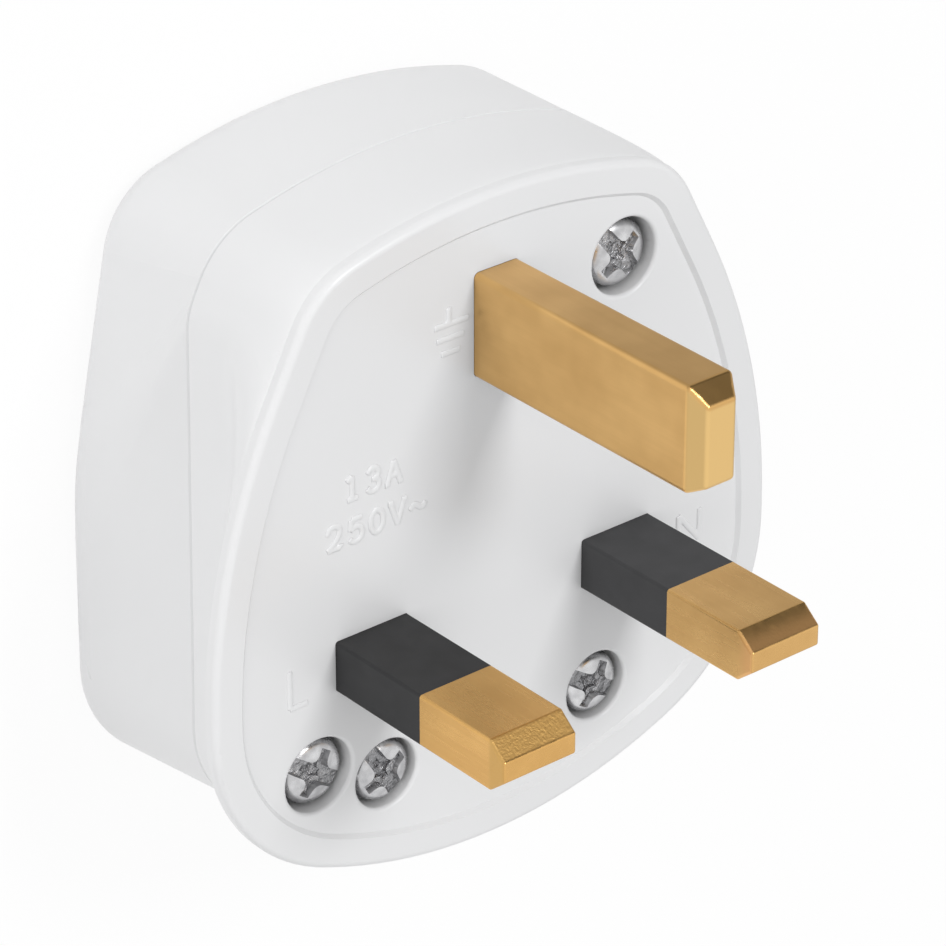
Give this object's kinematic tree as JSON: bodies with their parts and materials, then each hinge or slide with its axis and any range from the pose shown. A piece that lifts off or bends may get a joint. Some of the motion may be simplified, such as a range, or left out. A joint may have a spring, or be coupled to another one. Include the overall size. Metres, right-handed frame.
{
  "type": "uk three pin plug",
  "caption": "Rewirable UK mains plug with sleeved line and neutral pins, an earth pin, a flared front flange, a screwed rear cover and a fuse inside.",
  "frame": {"origin": "on the engagement face, midway between the centre of the earth pin and the line through the centres of the other two pins", "axes": "+Z out along the pins, +Y towards the earth pin, +X towards the neutral pin; the plug lies on its flat back"},
  "size_m": [0.0504, 0.0515, 0.0444],
  "materials": {
    "white_moulding": "moulded urea, soft gloss, white",
    "pin_brass": "drawn brass with faint draw lines",
    "sleeve_black": "moulded nylon, matt, dark grey",
    "terminal_brass": "stamped and turned brass",
    "fuse_ceramic": "unglazed ceramic, off-white",
    "fuse_cap_nickel": "nickel plated brass",
    "grip_nylon": "moulded nylon, satin",
    "screw_plating": "bright zinc plated steel"
  },
  "bodies": {
    "root": {"base": "white_moulding", "cover": "white_moulding", "earth_pin": "pin_brass", "neutral_pin": "pin_brass", "line_pin": "pin_brass", "neutral_sleeve": "sleeve_black", "line_sleeve": "sleeve_black", "line_terminal": "terminal_brass", "line_pin_fuse_clip": "terminal_brass", "terminal_fuse_clip": "terminal_brass", "clip_rivets": "terminal_brass", "fuse_barrel": "fuse_ceramic", "fuse_wire": "terminal_brass", "fuse_cap_lower": "fuse_cap_nickel", "fuse_cap_upper": "fuse_cap_nickel", "terminal_screws": "terminal_brass", "cord_grip": "grip_nylon", "cord_grip_screws": "screw_plating", "cover_screws": "screw_plating", "cover_inserts": "terminal_brass"}
  },
  "joints": []
}
